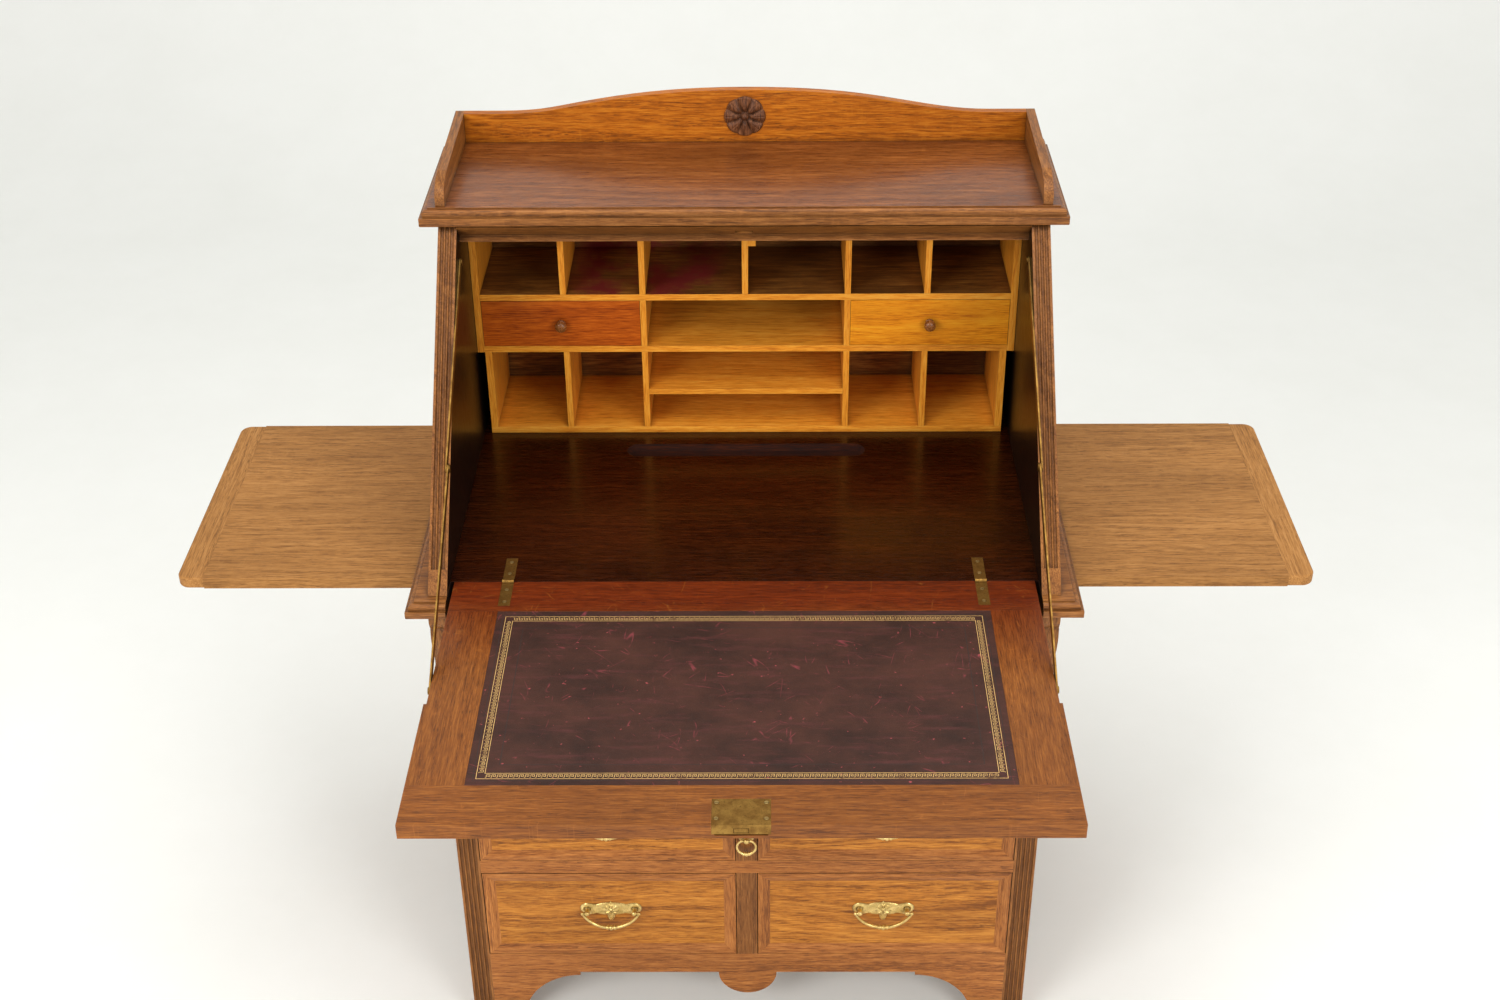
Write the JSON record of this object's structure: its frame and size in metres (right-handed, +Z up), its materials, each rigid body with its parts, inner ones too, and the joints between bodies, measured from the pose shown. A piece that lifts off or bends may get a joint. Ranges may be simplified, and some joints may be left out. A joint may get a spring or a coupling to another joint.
{
  "type": "slant fall-front bureau desk",
  "caption": "Free-standing oak writing bureau: a slant fall-front opens on brass stays over a pigeonhole interior, side slides pull out, and drawers fill the base.",
  "frame": {"origin": "on the floor, under the middle of the whole desk as it stands open, with the fall down and both side slides out", "axes": "+X to the right as the writer sees it, -Y towards the writer, +Z up"},
  "size_m": [1.488, 1.002, 1.2201],
  "materials": {
    "case_oak": "aged oak, waxed, satin, with open grain",
    "well_oak": "dark oak, polished to a gloss",
    "inner_wood": "plain unfinished oak",
    "carved_wood": "dark carved oak, waxed",
    "pigeonhole_pine": "pine, varnished, satin",
    "small_drawer_wood": "pine, varnished, satin",
    "knob_wood": "turned hardwood, polished",
    "fall_oak": "aged oak, waxed, satin, with scratches",
    "leather": "dark red leather with gilt tooling, worn",
    "slide_oak": "oak, matt, unpolished",
    "drawer_oak": "oak with strong grain, satin",
    "aged_brass": "aged brass, dull and stained",
    "pull_brass": "cast brass, brushed bright on high places, dark in low ones"
  },
  "bodies": {
    "case": {"apron": "case_oak", "back_panels": "case_oak", "corbels": "case_oak", "drawer_runners": "inner_wood", "frieze": "case_oak", "front_posts": "case_oak", "front_rails": "case_oak", "gallery_back": "case_oak", "gallery_sides": "case_oak", "hinge_leaves_case": "aged_brass", "hinge_pins": "aged_brass", "lower_sides": "case_oak", "pigeonhole_shelves": "pigeonhole_pine", "pigeonhole_uprights": "pigeonhole_pine", "ring_plate": "pull_brass", "rosette": "carved_wood", "slide_bed": "inner_wood", "slide_rails": "case_oak", "stay_rivets_case": "aged_brass", "strike_rail": "case_oak", "top_board": "case_oak", "upper_sides": "case_oak", "waist_board": "well_oak"},
    "fall": {"fall_frame": "fall_oak", "fall_panel": "fall_oak", "leather": "leather", "lock_plate": "aged_brass", "escutcheon": "aged_brass", "hinge_leaves_fall": "aged_brass", "stay_rivets_fall": "aged_brass"},
    "lock_bolt": {"lock_bolt": "aged_brass"},
    "stay_upper_left": {"stay_upper_left": "aged_brass"},
    "stay_lower_left": {"stay_lower_left": "aged_brass"},
    "slide_left": {"slide_left": "slide_oak"},
    "stay_upper_right": {"stay_upper_right": "aged_brass"},
    "stay_lower_right": {"stay_lower_right": "aged_brass"},
    "slide_right": {"slide_right": "slide_oak"},
    "drawer_bottom_left": {"drawer_bottom_left": "drawer_oak", "pull_plate_bottom_left": "pull_brass"},
    "bail_bottom_left": {"bail_bottom_left": "pull_brass"},
    "drawer_bottom_right": {"drawer_bottom_right": "drawer_oak", "pull_plate_bottom_right": "pull_brass"},
    "bail_bottom_right": {"bail_bottom_right": "pull_brass"},
    "drawer_middle_left": {"drawer_middle_left": "drawer_oak", "pull_plate_middle_left": "pull_brass"},
    "bail_middle_left": {"bail_middle_left": "pull_brass"},
    "drawer_middle_right": {"drawer_middle_right": "drawer_oak", "pull_plate_middle_right": "pull_brass"},
    "bail_middle_right": {"bail_middle_right": "pull_brass"},
    "drawer_top_left": {"drawer_top_left": "drawer_oak", "pull_plate_top_left": "pull_brass"},
    "bail_top_left": {"bail_top_left": "pull_brass"},
    "drawer_top_right": {"drawer_top_right": "drawer_oak", "pull_plate_top_right": "pull_brass"},
    "bail_top_right": {"bail_top_right": "pull_brass"},
    "small_drawer_left": {"small_drawer_left": "small_drawer_wood", "knob_left": "knob_wood"},
    "small_drawer_right": {"small_drawer_right": "small_drawer_wood", "knob_right": "knob_wood"},
    "ring": {"ring": "pull_brass"}
  },
  "joints": [
    {"name": "fall_hinge", "type": "hinge", "parent": "case", "child": "fall", "pos_m": [0, -0.039, 0.76], "axis": [-1, 0, 0], "range_deg": [0, 132.7]},
    {"name": "lock_bolt_slide", "type": "slide", "parent": "fall", "child": "lock_bolt", "axis": [0, -1, 0], "range_m": [0, 0.008]},
    {"name": "stay_upper_left_pivot", "type": "hinge", "parent": "case", "child": "stay_upper_left", "pos_m": [-0.376, 0.257, 1.07], "axis": [1, 0, 0], "range_deg": [-1, 79.06]},
    {"name": "stay_lower_left_pivot", "type": "hinge", "parent": "fall", "child": "stay_lower_left", "pos_m": [-0.374, -0.253, 0.7505], "axis": [1, 0, 0], "range_deg": [-1, 77.74]},
    {"name": "slide_left_in", "type": "slide", "parent": "case", "child": "slide_left", "axis": [1, 0, 0], "range_m": [0, 0.313]},
    {"name": "stay_upper_right_pivot", "type": "hinge", "parent": "case", "child": "stay_upper_right", "pos_m": [0.376, 0.257, 1.07], "axis": [1, 0, 0], "range_deg": [-1, 79.06]},
    {"name": "stay_lower_right_pivot", "type": "hinge", "parent": "fall", "child": "stay_lower_right", "pos_m": [0.374, -0.253, 0.7505], "axis": [1, 0, 0], "range_deg": [-1, 77.74]},
    {"name": "slide_right_in", "type": "slide", "parent": "case", "child": "slide_right", "axis": [-1, 0, 0], "range_m": [0, 0.313]},
    {"name": "drawer_bottom_left_slide", "type": "slide", "parent": "case", "child": "drawer_bottom_left", "axis": [0, -1, 0], "range_m": [0, 0.4]},
    {"name": "bail_bottom_left_swing", "type": "hinge", "parent": "drawer_bottom_left", "child": "bail_bottom_left", "pos_m": [-0.19325, -0.0782, 0.2142], "axis": [-1, 0, 0], "range_deg": [0, 60]},
    {"name": "drawer_bottom_right_slide", "type": "slide", "parent": "case", "child": "drawer_bottom_right", "axis": [0, -1, 0], "range_m": [0, 0.4]},
    {"name": "bail_bottom_right_swing", "type": "hinge", "parent": "drawer_bottom_right", "child": "bail_bottom_right", "pos_m": [0.19325, -0.0782, 0.2142], "axis": [-1, 0, 0], "range_deg": [0, 60]},
    {"name": "drawer_middle_left_slide", "type": "slide", "parent": "case", "child": "drawer_middle_left", "axis": [0, -1, 0], "range_m": [0, 0.4]},
    {"name": "bail_middle_left_swing", "type": "hinge", "parent": "drawer_middle_left", "child": "bail_middle_left", "pos_m": [-0.19325, -0.0782, 0.3832], "axis": [-1, 0, 0], "range_deg": [0, 60]},
    {"name": "drawer_middle_right_slide", "type": "slide", "parent": "case", "child": "drawer_middle_right", "axis": [0, -1, 0], "range_m": [0, 0.4]},
    {"name": "bail_middle_right_swing", "type": "hinge", "parent": "drawer_middle_right", "child": "bail_middle_right", "pos_m": [0.19325, -0.0782, 0.3832], "axis": [-1, 0, 0], "range_deg": [0, 60]},
    {"name": "drawer_top_left_slide", "type": "slide", "parent": "case", "child": "drawer_top_left", "axis": [0, -1, 0], "range_m": [0, 0.4]},
    {"name": "bail_top_left_swing", "type": "hinge", "parent": "drawer_top_left", "child": "bail_top_left", "pos_m": [-0.19325, -0.0782, 0.5302], "axis": [-1, 0, 0], "range_deg": [0, 60]},
    {"name": "drawer_top_right_slide", "type": "slide", "parent": "case", "child": "drawer_top_right", "axis": [0, -1, 0], "range_m": [0, 0.4]},
    {"name": "bail_top_right_swing", "type": "hinge", "parent": "drawer_top_right", "child": "bail_top_right", "pos_m": [0.19325, -0.0782, 0.5302], "axis": [-1, 0, 0], "range_deg": [0, 60]},
    {"name": "small_drawer_left_slide", "type": "slide", "parent": "case", "child": "small_drawer_left", "axis": [0, -1, 0], "range_m": [0, 0.11]},
    {"name": "small_drawer_right_slide", "type": "slide", "parent": "case", "child": "small_drawer_right", "axis": [0, -1, 0], "range_m": [0, 0.11]},
    {"name": "ring_swing", "type": "hinge", "parent": "case", "child": "ring", "pos_m": [0, -0.0796, 0.3525], "axis": [-1, 0, 0], "range_deg": [0, 80]}
  ],
  "couplings": [
    {"joint": "stay_upper_left_pivot", "follows": "fall_hinge", "ratio": 0.58824},
    {"joint": "stay_lower_left_pivot", "follows": "fall_hinge", "ratio": 0.5783},
    {"joint": "stay_upper_right_pivot", "follows": "fall_hinge", "ratio": 0.58824},
    {"joint": "stay_lower_right_pivot", "follows": "fall_hinge", "ratio": 0.5783}
  ]
}
